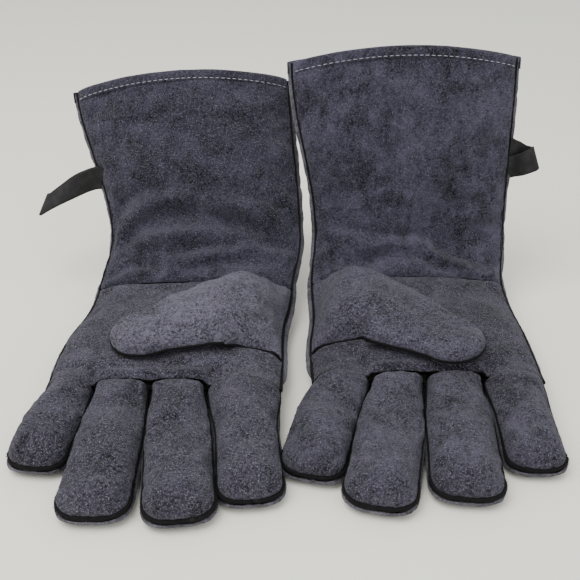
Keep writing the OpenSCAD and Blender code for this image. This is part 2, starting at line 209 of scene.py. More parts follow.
def ball(s, p):
    """The outline is a little hollow at the ball of the thumb."""
    inside = (s > WING_START) & (s < 0) & (p > 0)
    return np.where(inside, THUMB_HOLLOW * np.sin(np.pi * s / WING_START) ** 2, 0.0)


def hem_at(glove, p):
    return CUFF_LEN - glove.lost + HEM_ARCH * (1 - p * p) + glove.rise * p


def fold_x(glove):
    return THUMB_LINE + float(shift(glove, WING_START / 2))


def knuckle_y():
    return -HAND_LEN + HEEL_LEN - HEEL_RADIUS * math.sin(math.radians(HEEL_PITCH))


def bulge(p, power=0.5):
    return np.clip(1 - p * p, 0, 1) ** power


def ripple(points, scale, seed, octaves=2):
    """Smooth noise from -1 to 1 at points in mm, with features of about scale mm."""
    flat = np.asarray(points, float).reshape(-1, 3) / scale
    offset = Vector((seed * 13.7, seed * 7.3, seed * 3.1))
    values = [noise.fractal(Vector(q) + offset, 0.9, 2.0, octaves) for q in flat]
    return np.array(values).reshape(np.asarray(points).shape[:-1])


# ---- making pieces ----
def deselect_all():
    bpy.ops.object.select_all(action="DESELECT")


def select_only(piece):
    deselect_all()
    piece.select_set(True)
    bpy.context.view_layer.objects.active = piece


def edit_all(piece, operation, **settings):
    """Runs an edit-mode operation on the whole of a piece's mesh."""
    select_only(piece)
    bpy.ops.object.mode_set(mode="EDIT")
    bpy.ops.mesh.select_all(action="SELECT")
    operation(**settings)
    bpy.ops.object.mode_set(mode="OBJECT")


def places(piece):
    flat = np.zeros(len(piece.data.vertices) * 3)
    piece.data.vertices.foreach_get("co", flat)
    return flat.reshape(-1, 3)


def put(piece, points):
    piece.data.vertices.foreach_set("co", points.reshape(-1).astype(np.float32))
    piece.data.update()


def new_sheet(name, points):
    """A grid primitive whose points are moved to a two-way table of places, in metres."""
    rows, columns = points.shape[:2]
    deselect_all()
    bpy.ops.mesh.primitive_grid_add(x_subdivisions=columns - 1, y_subdivisions=rows - 1, size=1)
    piece = bpy.context.active_object
    piece.name = name
    piece.data.name = name
    put(piece, points)
    return piece


def join_pieces(pieces, name):
    deselect_all()
    for piece in pieces:
        piece.select_set(True)
    bpy.context.view_layer.objects.active = pieces[0]
    bpy.ops.object.join()
    pieces[0].name = name
    return pieces[0]


def apply_modifiers(piece):
    select_only(piece)
    for modifier in list(piece.modifiers):
        bpy.ops.object.modifier_apply(modifier=modifier.name)


def smooth_shading(piece, angle):
    select_only(piece)
    bpy.ops.object.shade_smooth_by_angle(angle=math.radians(angle))


def face_towards(piece, middle):
    """Turns the sheet's faces so that most look away from a point inside the glove, in metres."""
    mesh = bmesh.new()
    mesh.from_mesh(piece.data)
    score = sum((f.calc_center_median() - Vector(middle)).dot(f.normal) * f.calc_area() for f in mesh.faces)
    if score < 0:
        bmesh.ops.reverse_faces(mesh, faces=mesh.faces)
    mesh.to_mesh(piece.data)
    mesh.free()


def give_thickness(piece, thickness):
    """Leather of the given thickness, in mm, below the sheet."""
    solid = piece.modifiers.new("leather", "SOLIDIFY")
    solid.thickness = thickness * MM
    solid.offset = -1
    solid.use_even_offset = False
    solid.thickness_clamp = 1.0
    apply_modifiers(piece)


def keep_above_floor(piece, floor=0.05):
    points = places(piece)
    points[:, 2] = np.maximum(points[:, 2], floor * MM)
    put(piece, points)


def finish_piece(piece, material, slot_name, *replaced):
    piece.data.materials.clear()
    piece.data.materials.append(material)
    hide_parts(*replaced)


# ---- materials ----
class Wire:
    """A shader socket with arithmetic: each operation adds a Math node."""

    def __init__(self, maker, socket):
        self.maker, self.socket = maker, socket

    def _math(self, operation, a, b=None, clamp=False):
        inputs = {0: a} if b is None else {0: a, 1: b}
        return self.maker.node("ShaderNodeMath", {"operation": operation, "use_clamp": clamp}, inputs)

    def __add__(self, other):
        return self._math("ADD", self, other)

    def __sub__(self, other):
        return self._math("SUBTRACT", self, other)

    def __mul__(self, other):
        return self._math("MULTIPLY", self, other)

    def __truediv__(self, other):
        return self._math("DIVIDE", self, other)

    def __pow__(self, other):
        return self._math("POWER", self, other)

    def __rsub__(self, other):
        return self._math("SUBTRACT", other, self)

    __radd__ = __add__
    __rmul__ = __mul__

    def clamp(self):
        return self._math("ADD", self, 0.0, clamp=True)


class MaterialMaker:
    """A new material and one method that adds any node to it."""

    def __init__(self, name):
        self.material = bpy.data.materials.new(name)
        self.material.use_nodes = True
        self.tree = self.material.node_tree
        self.shader = self.tree.nodes["Principled BSDF"]

    def node(self, kind, settings=None, inputs=None, output=0):
        node = self.tree.nodes.new(kind)
        for key, value in (settings or {}).items():
            setattr(node, key, value)
        for key, value in (inputs or {}).items():
            if isinstance(value, Wire):
                self.tree.links.new(value.socket, node.inputs[key])
            else:
                node.inputs[key].default_value = value
        return Wire(self, node.outputs[output])

    def set(self, **inputs):
        for key, value in inputs.items():
            name = key.replace("_", " ")
            if isinstance(value, Wire):
                self.tree.links.new(value.socket, self.shader.inputs[name])
            else:
                self.shader.inputs[name].default_value = value

    def object_place(self):
        return self.node("ShaderNodeTexCoord", output=3)

    def noise(self, place, scale, detail=4.0, roughness=0.55, distortion=0.0):
        return self.node("ShaderNodeTexNoise", {}, {"Vector": place, "Scale": scale, "Detail": detail,
                                                  "Roughness": roughness, "Distortion": distortion})

    def mix(self, factor, a, b):
        return self.node("ShaderNodeMix", {"data_type": "RGBA"}, {0: factor, 6: a, 7: b}, output=2)

    def bump(self, height, strength, distance):
        return self.node("ShaderNodeBump", {}, {"Strength": strength, "Distance": distance, "Height": height})

    def span(self, value, low, high, to_low=0.0, to_high=1.0):
        return self.node("ShaderNodeMapRange", {"clamp": True},
                         {0: value, 1: low, 2: high, 3: to_low, 4: to_high})


def rgba(color, factor=1.0):
    return (color[0] * factor, color[1] * factor, color[2] * factor, 1.0)


def napped_leather(name, color, mottle, nap, seed):
    """Split leather: cloudy patches, brushed streaks, and a nap of short light and dark fibres."""
    maker = MaterialMaker(name)
    place = maker.node("ShaderNodeMapping", {}, {"Vector": maker.object_place(),
                                                 "Location": (seed * 0.31, seed * 0.17, seed * 0.07)})
    clouds = maker.span(maker.noise(place, 24.0, 5.0, 0.62, 0.6), 0.3, 0.7)
    patches = maker.span(maker.noise(place, 80.0, 4.0, 0.62, 0.4), 0.3, 0.7)
    long_place = maker.node("ShaderNodeMapping", {}, {"Vector": place, "Scale": (1.0, 0.35, 0.35),
                                                      "Rotation": (0.0, 0.0, 0.5)})
    streaks = maker.span(maker.noise(long_place, 210.0, 3.0, 0.6, 0.8), 0.3, 0.7)
    fibres = maker.span(maker.noise(place, 620.0, 3.0, 0.8, 0.7), 0.32, 0.68)
    flecks = maker.noise(place, 1150.0, 2.0, 0.75, 0.4)
    tone = (clouds - 0.5) * 0.55 * mottle + (patches - 0.5) * 0.30 * mottle
    tone = tone + (streaks - 0.5) * 0.22 * mottle + (fibres - 0.5) * nap + 0.5
    base = maker.mix(tone.clamp(), rgba(color, 0.12), rgba(color, 1.75))
    scuffs = maker.span(maker.noise(place, 34.0, 6.0, 0.72, 1.4), 0.54, 0.74, 0.0, 0.42 * mottle)
    base = maker.mix(scuffs.clamp(), base, rgba(color, 2.1))
    light_hairs = maker.span(flecks, 0.56, 0.68, 0.0, 0.45 * nap)
    base = maker.mix(light_hairs.clamp(), base, rgba((0.25, 0.238, 0.29)))
    dark_pits = maker.span(flecks, 0.40, 0.28, 0.0, 0.45 * nap)
    base = maker.mix(dark_pits.clamp(), base, rgba(color, 0.2))
    height = fibres * 0.7 + flecks * 0.5 + patches * 0.5 + streaks * 0.3
    bump = maker.bump(height, 0.8, 0.0011)
    maker.set(Base_Color=base, Roughness=maker.span(fibres, 0.3, 0.7, 0.86, 1.0), Normal=bump)
    maker.set(Sheen_Weight=0.16, Sheen_Roughness=0.45, Sheen_Tint=(0.75, 0.76, 0.85, 1.0),
              Specular_IOR_Level=0.08)
    return maker.material


def black_edge(name):
    """The raw edge of black leather in a seam, fuzzy and nearly without gloss."""
    maker = MaterialMaker(name)
    place = maker.object_place()
    fuzz = maker.noise(place, 1100.0, 3.0, 0.7, 0.4)
    wear = maker.noise(place, 160.0, 3.0, 0.6)
    base = maker.mix(fuzz, rgba((0.0015, 0.0015, 0.002)), rgba((0.010, 0.0095, 0.011)))
    base = maker.mix(maker.span(wear, 0.62, 0.8, 0.0, 0.35), base, rgba((0.07, 0.07, 0.075)))
    maker.set(Base_Color=base, Roughness=maker.span(fuzz, 0.3, 0.7, 0.8, 1.0), Specular_IOR_Level=0.2,
              Normal=maker.bump(fuzz, 0.7, 0.0006))
    return maker.material


def strap_leather(name):
    """A thin black strap: smooth side with a fine grain, slightly worn."""
    maker = MaterialMaker(name)
    place = maker.object_place()
    grain = maker.node("ShaderNodeTexVoronoi", {"feature": "F1"}, {"Vector": place, "Scale": 1300.0})
    worn = maker.noise(place, 120.0, 4.0, 0.6)
    base = maker.mix(maker.span(worn, 0.45, 0.75), rgba((0.006, 0.006, 0.007)), rgba((0.030, 0.028, 0.030)))
    maker.set(Base_Color=base, Roughness=maker.span(worn, 0.3, 0.7, 0.55, 0.85), Specular_IOR_Level=0.3,
              Normal=maker.bump(grain + worn * 0.6, 0.5, 0.0004))
    return maker.material


def spun_thread(name):
    maker = MaterialMaker(name)
    place = maker.object_place()
    twist = maker.noise(place, 1800.0, 2.0, 0.6)
    base = maker.mix(twist, rgba((0.16, 0.17, 0.20)), rgba((0.42, 0.44, 0.50)))
    maker.set(Base_Color=base, Roughness=0.8, Normal=maker.bump(twist, 0.5, 0.0003))
    return maker.material


def brushed_fleece(name):
    maker = MaterialMaker(name)
    place = maker.object_place()
    pile = maker.noise(place, 700.0, 4.0, 0.7, 0.6)
    tufts = maker.noise(place, 110.0, 3.0, 0.6)
    base = maker.mix((pile * 0.6 + tufts * 0.4).clamp(), rgba((0.20, 0.19, 0.17)), rgba((0.50, 0.48, 0.43)))
    maker.set(Base_Color=base, Roughness=0.97, Normal=maker.bump(pile + tufts, 0.8, 0.0012))
    return maker.material


def pale_surface(name, color):
    maker = MaterialMaker(name)
    place = maker.object_place()
    tone = maker.noise(place, 3.0, 2.0, 0.5)
    base = maker.mix(tone, rgba(color, 0.985), rgba(color, 1.0))
    maker.set(Base_Color=base, Roughness=0.42, Specular_IOR_Level=0.35)
    return maker.material


# Each leather: its key, its material's name, its colour in the sidebar, and the tone, mottling, nap and seed
# that set it apart.
LEATHERS = (
    ("left_cuff", "cuff_suede_left", "cuff_color", 0.93, 1.2, 1.1, 1),
    ("right_cuff", "cuff_suede_right", "cuff_color", 1.22, 1.3, 0.9, 5),
    ("left_hand", "hand_suede_left", "hand_color", 0.94, 1.5, 1.8, 2),
    ("right_hand", "hand_suede_right", "hand_color", 0.68, 1.5, 1.6, 6),
    ("left_finger", "finger_suede_left", "hand_color", 0.88, 1.1, 1.7, 3),
    ("right_finger", "finger_suede_right", "hand_color", 0.95, 1.5, 1.3, 7),
    ("left_thumb", "thumb_suede_left", "thumb_color", 0.95, 0.8, 1.3, 4),
    ("right_thumb", "thumb_suede_right", "hand_color", 1.15, 1.0, 1.5, 8),
    # The back leather: its own paler tone, made lighter still as painted light where its rolled strip at the
    # sides would catch the light.
    ("back", "back_suede", "back_color_with_painted_light", 1.0, 0.8, 0.8, 9),
)
MATERIALS = {}


def material(key):
    """Each finish is made once, from the sidebar's colours."""
    if not MATERIALS:
        finish = bpy.context.scene.glove_finish
        for leather, name, color, tone, mottle, nap, seed in LEATHERS:
            MATERIALS[leather] = napped_leather(name, rgba(getattr(finish, color), tone),
                                                finish.mottling * mottle, finish.nap * nap, seed)
        MATERIALS.update(welt=black_edge("black_welt_edge"), strap=strap_leather("black_loop_leather"),
                         thread=spun_thread("grey_spun_thread"), fleece=brushed_fleece("brushed_fleece"))
    return MATERIALS[key]


# ---- the sleeve: hand and cuff ----
def across(count):
    """Places across a panel from -1 to 1, closer together at its seams."""
    return -np.cos(np.pi * np.linspace(0, 1, count))


def sleeve(glove, s, p, side, lift=0.0):
    """Points of the outer face of hand and cuff. side is 1 for the palm and -1 for the back."""
    s, p = np.broadcast_arrays(np.asarray(s, float), np.asarray(p, float))
    y, z, slope = spine(glove, s)
    height = palm_height(s) if side > 0 else back_height(s)
    depth = SEAM + (height - SEAM) * bulge(p)
    x = shift(glove, s) + (half_width(s) + ball(s, p)) * p
    if side < 0:
        roll = BACK_ROLL * np.sin(np.pi * np.clip(bulge(p) / 0.6, 0, 1)) * smooth((s + HAND_LEN) / 22)
        x = x + np.sign(p) * roll * smooth((np.abs(p) - 0.5) / 0.3)
    else:
        x = x - np.sign(p) * 1.2 * smooth((np.abs(p) - 0.9) / 0.1)
    offset = side * depth + lift
    return np.stack([x, y - offset * np.sin(slope), z + offset * np.cos(slope)], -1)


def crease_lift(glove, s, p):
    """Folds that the cuff has where it bends: each is a soft ridge or groove along a line."""
    total = np.zeros(np.broadcast(s, p).shape)
    for s0, p0, s1, p1, height, width in glove.creases:
        ax, ay, bx, by = p0 * CREASE_SPAN, s0, p1 * CREASE_SPAN, s1
        px, py = p * CREASE_SPAN, s
        length = math.hypot(bx - ax, by - ay)
        t = np.clip(((px - ax) * (bx - ax) + (py - ay) * (by - ay)) / length ** 2, 0, 1)
        bow = 7.0 * np.sin(np.pi * t)
        nx, ny = -(by - ay) / length, (bx - ax) / length
        dx, dy = px - (ax + t * (bx - ax)) - nx * bow, py - (ay + t * (by - ay)) - ny * bow
        distance = np.hypot(dx, dy)
        ridge = np.exp(-(distance / width) ** 2)
        trough = 0.55 * np.exp(-((distance - width * 1.7) / (width * 0.8)) ** 2)
        ends = 0.35 + 0.65 * np.sin(np.pi * np.clip(t, 0.06, 0.94))
        total = total + height * (ridge - trough) * ends
    return total


def soft_lift(points, p, seed, amount=1.0):
    """Dents and swells of soft leather, none at the seams."""
    away = smooth((1 - np.abs(p)) / 0.12)
    swell = ripple(points, 46.0, seed) * 1.7 + ripple(points, 17.0, seed + 1) * 0.7
    return swell * away * amount


def wrist_groove(s, p):
    """How far the front leathers dip to their seam at the wrist."""
    return (1.3 + 1.5 * smooth((1 - np.abs(p)) / 0.08)) * np.exp(-(s / 1.8) ** 2)


def panel_middle(glove, s):
    """A point of the spine, in the row frame."""
    y, z, _ = spine(glove, s)
    return glove.place([float(shift(glove, s)), float(y), float(z)])


def make_cuffs(glove):
    sheets, free = [], []
    p = across(62)[None, :]
    u = np.linspace(0, 1, 66)[:, None]
    hem = hem_at(glove, p)
    s = 0.3 + (hem - 0.3) * u
    fade = smooth((1 - u) / 0.08) * smooth(u / 0.05)
    for side, part, seed in ((1, "front", glove.seed), (-1, "back", glove.seed + 20)):
        lift = soft_lift(sleeve(glove, s, p, side), p, seed, 1.5) * fade
        if side > 0:
            folds = 1.5 * crease_lift(glove, s, p) * smooth((1 - np.abs(p)) / 0.1) * smooth(s / 6.0)
            lift = lift + folds - wrist_groove(s, p)
        points = glove.place(sleeve(glove, s, p, side, lift * side))
        piece = new_sheet(f"{glove.name}_cuff_{part}_leather", points)
        face_towards(piece, panel_middle(glove, 90))
        sheets.append(piece)
        free.append((smooth((hem - s - 15) / 12) * smooth((s - 3) / 8)).reshape(-1))
    relax(sheets, 1.2, 0.03, 2.5, free)
    for piece, part in zip(sheets, ("front", "back")):
        dress(piece, LEATHER, glove.seed + 3)
        key = f"{glove.name}_cuff" if part == "front" else "back"
        finish_piece(piece, material(key), "cuff_leather", f"{glove.name}_cuff_{part}")
        blend_at_wrist(glove, piece)


def relax(sheets, pressure, slack, cap, free=None):
    """Lets sewn panels fill out and wrinkle as cloth: their edges are held, and no point moves past cap mm.

    free holds a share from 0 to 1 for every point of each sheet, by which its movement is kept."""
    limit = cap * MM
    before = [places(sheet) for sheet in sheets]
    for sheet in sheets:
        seams = sheet.vertex_groups.new(name="seams")
        rim = bmesh.new()
        rim.from_mesh(sheet.data)
        held = [vertex.index for vertex in rim.verts if vertex.is_boundary]
        rim.free()
        seams.add(held, 1.0, "REPLACE")
        cloth = sheet.modifiers.new("cloth", "CLOTH")
        cloth.settings.quality = 4
        cloth.settings.mass = 0.35
        cloth.settings.tension_stiffness = 20
        cloth.settings.compression_stiffness = 20
        cloth.settings.shear_stiffness = 8
        cloth.settings.bending_stiffness = 1.5
        cloth.settings.vertex_group_mass = seams.name
        cloth.settings.use_pressure = True
        cloth.settings.uniform_pressure_force = pressure
        cloth.settings.shrink_min = -slack
        cloth.settings.effector_weights.gravity = 0
        cloth.collision_settings.use_collision = False
        cloth.collision_settings.use_self_collision = False
        cloth.point_cache.frame_start = 1
        cloth.point_cache.frame_end = CLOTH_FRAMES
    for step in range(1, CLOTH_FRAMES + 1):
        bpy.context.scene.frame_set(step)
    for number, (sheet, old) in enumerate(zip(sheets, before)):
        share = free[number][:, None] if free else 1.0
        apply_modifiers(sheet)
        moved = places(sheet) - old
        far = np.linalg.norm(moved, axis=1, keepdims=True)
        kept = np.where(far > 1e-9, np.tanh(far / limit) * limit / np.maximum(far, 1e-9), 0) * share
        put(sheet, old + moved * kept)
        sheet.vertex_groups.clear()
    bpy.context.scene.frame_set(1)


def dress(piece, thickness, seed, floor=0.05):
    """From a coarse sheet to leather: smoother, finely uneven, and with its thickness."""
    fine = piece.modifiers.new("fine", "SUBSURF")
    fine.levels = fine.render_levels = 1
    fine.boundary_smooth = "PRESERVE_CORNERS"
    apply_modifiers(piece)
    points = places(piece)
    normals = np.array([vertex.normal[:] for vertex in piece.data.vertices])
    uneven = ripple(points / MM, 7.0, seed, 3) * 0.28 + ripple(points / MM, 2.6, seed + 1, 2) * 0.12
    put(piece, points + normals * uneven[:, None] * MM)
    keep_above_floor(piece, floor)
    give_thickness(piece, thickness)
    keep_above_floor(piece, floor)
    smooth_shading(piece, 50)


def blend_at_wrist(glove, piece):
    """The cuff is sewn to the hand; here the piece's place is only baked into its mesh, and it is not tied to
    a body.
    """
    y0, z0, _ = spine(glove, 0.0)
    y1, z1, _ = spine(glove, 26.0)
    start = glove.place([0, float(y0), float(z0)])
    end = glove.place([0, float(y1), float(z1)])
    glove.body("hand")
    glove.body("cuff")
    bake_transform(piece)


def make_hands(glove):
    s = np.linspace(-HAND_LEN, -0.3, 44)[:, None]
    points = sleeve(glove, s, across(58)[None, :], -1)
    points[..., 2] = np.maximum(points[..., 2], 0.0)
    back = new_sheet(f"{glove.name}_back_leather", glove.place(points))
    face_towards(back, panel_middle(glove, -60))
    # the palm, cut away under the thumb's base
    s = np.concatenate([np.linspace(-HAND_LEN - 0.2, WING_START - 1.6, 19),
                        np.linspace(WING_START - 0.4, -0.3, 34)])[:, None]
    cut_away = (fold_x(glove) - 1.5 - shift(glove, s)) / (half_width(s) + ball(s, 1.0))
    edge = np.where(s < WING_START - 1, 1.0, cut_away)
    p = -1 + (across(76)[None, :] + 1) / 2 * (edge + 1)
    flat = sleeve(glove, s, p, 1)
    lift = soft_lift(flat, p, glove.seed + 41) - under_thumb(glove, flat) - wrist_groove(s, p)
    points = sleeve(glove, s, p, 1, lift)
    points[..., 2] = knuckle_shape(glove, s, points)
    palm = new_sheet(f"{glove.name}_palm_leather", glove.place(points))
    face_towards(palm, panel_middle(glove, -60))
    free = (smooth((-s - 2) / 8) * smooth((s + HAND_LEN - 6) / 8) * np.ones_like(p)).reshape(-1)
    relax([palm], 1.0, 0.03, 2.0, [free])
    for piece, key, part in ((palm, f"{glove.name}_hand", "palm_panel"), (back, "back", "back_panel")):
        dress(piece, LEATHER, glove.seed + 11, 0.0)
        finish_piece(piece, material(key), "hand_leather", f"{glove.name}_{part}")
        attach(piece, glove.body("hand"))


def finger_base(glove, finger):
    """The two edges of a finger at its base: neighbours nearly meet, the outer ones reach the hand's edge."""
    order = glove.fingers.index(finger)
    reach = [(f.x - f.base * FINGER_W / 2, f.x + f.base * FINGER_W / 2) for f in glove.fingers]
    high = KNUCKLE_W / 2 - 0.8 if order == 0 else (reach[order - 1][0] + reach[order][1]) / 2 - WEB
    low = -KNUCKLE_W / 2 + 0.8 if order == 3 else (reach[order][0] + reach[order + 1][1]) / 2 + WEB
    return low, high


def knuckle_shape(glove, s, points):
    """Heights of the palm near the finger seam: full over the outer fingers, gathered over the middle two."""
    x, z = points[..., 0], points[..., 2].copy()
    near = smooth((-s - 98) / 20) * np.ones_like(x)
    z = z - 2.0 * near
    for finger in glove.fingers:
        low, high = finger_base(glove, finger)
        u = (2 * x - low - high) / (high - low)
        inside = smooth((1.02 - np.abs(u)) / 0.06)
        outer = finger.name in ("index", "little")
        dome = finger_top(finger, 0.0, u)
        pull = smooth((-s - 101) / 16) if outer else 0.45 * smooth((-s - 110) / 8)
        z = z + inside * pull * (dome - z)
        if not outer:
            ridge = 2.2 * np.exp(-((s + HAND_LEN - 4.2) / 2.6) ** 2)
            groove = 1.6 * np.exp(-((s + HAND_LEN) / 1.5) ** 2)
            z = z + inside * (ridge - groove)
    return z


def finger_top(finger, d, u):
    """Height of a finger's front leather at the place u across it, from -1 to 1."""
    seam_z, gap = finger_seam(finger, d)
    top = FINGER_T - 2.5 * smooth(d / (finger.length * FINGER_LEN))
    squared = 0.55 if finger.name in ("index", "little") else 0.2 + 0.35 * smooth(d / 26)
    return seam_z + gap + (top - seam_z - gap) * bulge(u, squared)


def under_thumb(glove, points):
    """The palm sinks a little under the thumb's weight."""
    angle = math.radians(glove.turn)
    x0, y0 = fold_x(glove), WING_START / 2
    along = (x0 - points[..., 0]) * math.cos(angle) + (y0 - points[..., 1]) * math.sin(angle)
    aside = (x0 - points[..., 0]) * math.sin(angle) - (y0 - points[..., 1]) * math.cos(angle)
    return 2.2 * smooth(along / 30) * smooth((THUMB_LEN + 8 - along) / 22) * np.exp(-(aside / 24) ** 2)


def make_lining(glove):
    """A fleece sock inside the hand, open at the wrist."""
    s = np.linspace(-HAND_LEN + 16, -3, 30)[:, None]
    angle = np.linspace(-np.pi, np.pi, 61)[None, :]
    p = np.cos(angle) * 0.955
    y, z, slope = spine(glove, s)
    upper = (palm_height(s) - LEATHER - 2.6) * (1 - 0.5 * smooth((-s - 84) / 16))
    lower = back_height(s) - LEATHER - 1.2
    shape = np.abs(np.sin(angle)) ** 0.8
    offset = np.where(np.sin(angle) > 0, upper * shape, -lower * shape)
    x = shift(glove, s) + (half_width(s) - LEATHER - 1.0) * p
    points = np.stack([x, y - offset * np.sin(slope), z + offset * np.cos(slope)], -1)
    points[..., 2] = np.maximum(points[..., 2], LEATHER + 0.4)
    sock = new_sheet(f"{glove.name}_fleece_lining", glove.place(points))
    face_towards(sock, panel_middle(glove, -60))
    edit_all(sock, bpy.ops.mesh.remove_doubles, threshold=1e-5)
    give_thickness(sock, FLEECE)
    edit_all(sock, bpy.ops.mesh.normals_make_consistent, inside=False)
    smooth_shading(sock, 40)
    finish_piece(sock, material("fleece"), "fleece_lining", f"{glove.name}_palm_lining",
                 f"{glove.name}_back_lining")
    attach(sock, glove.body("hand"))


# ---- fingers ----
def tip_round(e, r, k=2.0):
    """Share of the full width at the distance e from a tip of radius r; a larger k makes the tip squarer."""
    e = np.clip(e, 0, None)
    return np.where(e >= r, 1.0, np.clip(1 - (1 - e / r) ** k, 0, 1) ** (1 / k))


def finger_half(glove, finger, d):
    low, high = finger_base(glove, finger)
    length, w, base = finger.length * FINGER_LEN, finger.width * FINGER_W / 2 + 0.5, (high - low) / 2
    return (base + (w - base) * smooth(d / (0.45 * length))) * tip_round(length - d, w * 0.74, 2.7)


def finger_seam(finger, d):
    """Height of the seam along a finger, and half of the room that its welt takes."""
    length = finger.length * FINGER_LEN
    fall = smooth((d / length - 0.35) / 0.65)
    return FINGER_T / 2 - 5.5 * fall, SEAM + 0.35 * smooth((d / length - 0.7) / 0.3)


def finger_centre(glove, finger, d):
    turn = math.radians(finger.turn)
    low, high = finger_base(glove, finger)
    aside = ((low + high) / 2 - finger.x) * (1 - smooth(d / 32))
    return finger.x + aside + d * math.sin(turn), knuckle_y() - 0.3 - d * math.cos(turn)


def finger_points(glove, finger, d, p, side):
    d, p = np.broadcast_arrays(np.asarray(d, float), np.asarray(p, float))
    length = finger.length * FINGER_LEN
    seam_z, gap = finger_seam(finger, d)
    half = finger_half(glove, finger, d)
    if side > 0:
        z = seam_z + gap + (finger_top(finger, d, p) - seam_z - gap) * tip_round(length - d, 14.0)
        if finger.name in ("middle", "ring"):
            z = z - 2.2 * np.exp(-(d / 1.6) ** 2)
        half = np.maximum(half - 0.8, 0.05)
    else:
        rolled = bulge(p, 0.5)
        z = seam_z - gap - (seam_z - gap) * np.minimum(1, 1.25 * rolled) * tip_round(length - d, 9.0)
        roll = 2.6 * np.sin(np.pi * np.clip(rolled / 0.7, 0, 1)) * smooth((d - 8) / 20)
        half = np.maximum(half + roll, 0.05)
    turn = math.radians(finger.turn)
    skew = turn * smooth(d / 30)
    x0, y0 = finger_centre(glove, finger, d)
    shape = half * p
    lip = 1.5 * smooth((d - length + 8) / 8) * (1 if side < 0 else 0)
    return np.stack([x0 + shape * np.cos(skew) + lip * math.sin(turn),
                     y0 + shape * np.sin(skew) - lip * math.cos(turn), np.maximum(z, 0.05)], -1)


def finger_rows(finger, count):
    length = finger.length * FINGER_LEN
    u = np.linspace(0, 1, count)
    angle = np.clip((u - 0.46) / 0.54, 0, 1) * np.pi / 2
    curved = length * 0.62 + length * 0.38 * np.sin(angle)
    return np.where(u < 0.46, u / 0.46 * length * 0.62, curved)


def finger_dents(finger, points, p, d, seed):
    """Soft dents along a finger, and puckers where a short seam gathers its base."""
    length = finger.length * FINGER_LEN
    away = smooth((1 - np.abs(p)) / 0.25) * smooth((length - d) / 14) * smooth((d - 1) / 8)
    dents = (ripple(points, 24.0, seed) * 1.5 + ripple(points, 9.0, seed + 2) * 0.55) * away
    puckers = 0.0
    if finger.name in ("middle", "ring"):
        rays = np.cos(np.pi * 3.5 * (p + 0.15) + seed) * np.exp(-((d - 8) / 8.0) ** 2) * smooth(d / 4)
        puckers = 1.1 * rays * smooth((1 - np.abs(p)) / 0.15)
    return dents + puckers


def make_fingers(glove):
    sheets = []
    for order, finger in enumerate(glove.fingers):
        for side, part in ((1, "front"), (-1, "back")):
            d = finger_rows(finger, 42)[:, None]
            p = across(22)[None, :]
            points = finger_points(glove, finger, d, p, side)
            if side > 0:
                points[..., 2] += finger_dents(finger, points, p, d, glove.seed + order * 5)
            piece = new_sheet(f"{glove.name}_{finger.name}_{part}_leather", glove.place(points))
            x, y = finger_centre(glove, finger, finger.length * FINGER_LEN * 0.45)
            face_towards(piece, glove.place([x, y, FINGER_T / 2]))
            close_tip(piece)
            sheets.append((piece, finger, part))
    relax([sheet for sheet, _, part in sheets if part == "front"], 2.0, 0.05, 2.2)
    for number, (piece, finger, part) in enumerate(sheets):
        dress(piece, LEATHER, glove.seed + number)
        key = f"{glove.name}_finger" if part == "front" else "back"
        finish_piece(piece, material(key), "hand_leather", f"{glove.name}_{finger.name}_{part}")
        blend_at_knuckle(glove, finger, piece)


def close_tip(piece):
    """Merges the points of the last row, which lie together at the tip."""
    edit_all(piece, bpy.ops.mesh.remove_doubles, threshold=0.0002)


def blend_at_knuckle(glove, finger, piece):
    start = glove.place([0, knuckle_y(), 0])
    end = glove.place([0, knuckle_y() - 24, 0])
    glove.body("hand")
    glove.body(finger[0])
    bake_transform(piece)


# ---- thumb: one leather from the side seam and the wrist to the tip ----
def thumb_axis(glove, d):
    angle = math.radians(glove.turn)
    return fold_x(glove) - 1.0 - d * math.cos(angle), WING_START / 2 - d * math.sin(angle)


def thumb_half(glove, d, p):
    """Half width of the thumb: it is fuller on the side towards the fingers, where p is below 0."""
    base = (-WING_START - 8) / 2
    half = base + (THUMB_W / 2 - base) * smooth(np.clip(d, 0, None) / (0.8 * glove.thumb_len))
    at_fold, halfway, at_tip = glove.thumb_fullness
    fuller = through([(-30, 3.5), (8, at_fold), (0.45 * glove.thumb_len, halfway),
                      (0.85 * glove.thumb_len, at_tip)], d)
    half = half + np.where(p < 0, fuller, 2.4 * (1 - smooth((d + 10) / 30)))
    return half * tip_round(glove.thumb_len - d, THUMB_W * 0.5)


def thumb_points(glove, d, p, side):
    """d runs from the side seam, below 0, over the fold at 0 to the tip. p is 1 towards the wrist."""
    d, p = np.broadcast_arrays(np.asarray(d, float), np.asarray(p, float))
    angle = math.radians(glove.turn)
    length = glove.thumb_len
    x0, y0 = thumb_axis(glove, np.clip(d, 0, None))
    skew = angle * smooth(d / 45)
    half = thumb_half(glove, d, p)
    fall = 4.5 * smooth(d / length)
    rounded = tip_round(length - d, 13.0)
    if side > 0:
        height = (THUMB_T - THUMB_UNDER - SEAM) * (1 - 0.14 * smooth(d / length))
    else:
        height = THUMB_UNDER - SEAM
    z = THUMB_SEAM - fall + side * (SEAM + height * bulge(p, 0.5) * rounded)
    out = np.stack([x0 - half * p * np.sin(skew), y0 + half * p * np.cos(skew), z], -1)
    if side > 0:
        near = smooth((d + 14) / 44)[..., None]
        out = wing_points(glove, d, p) * (1 - near) + out * near
    return out


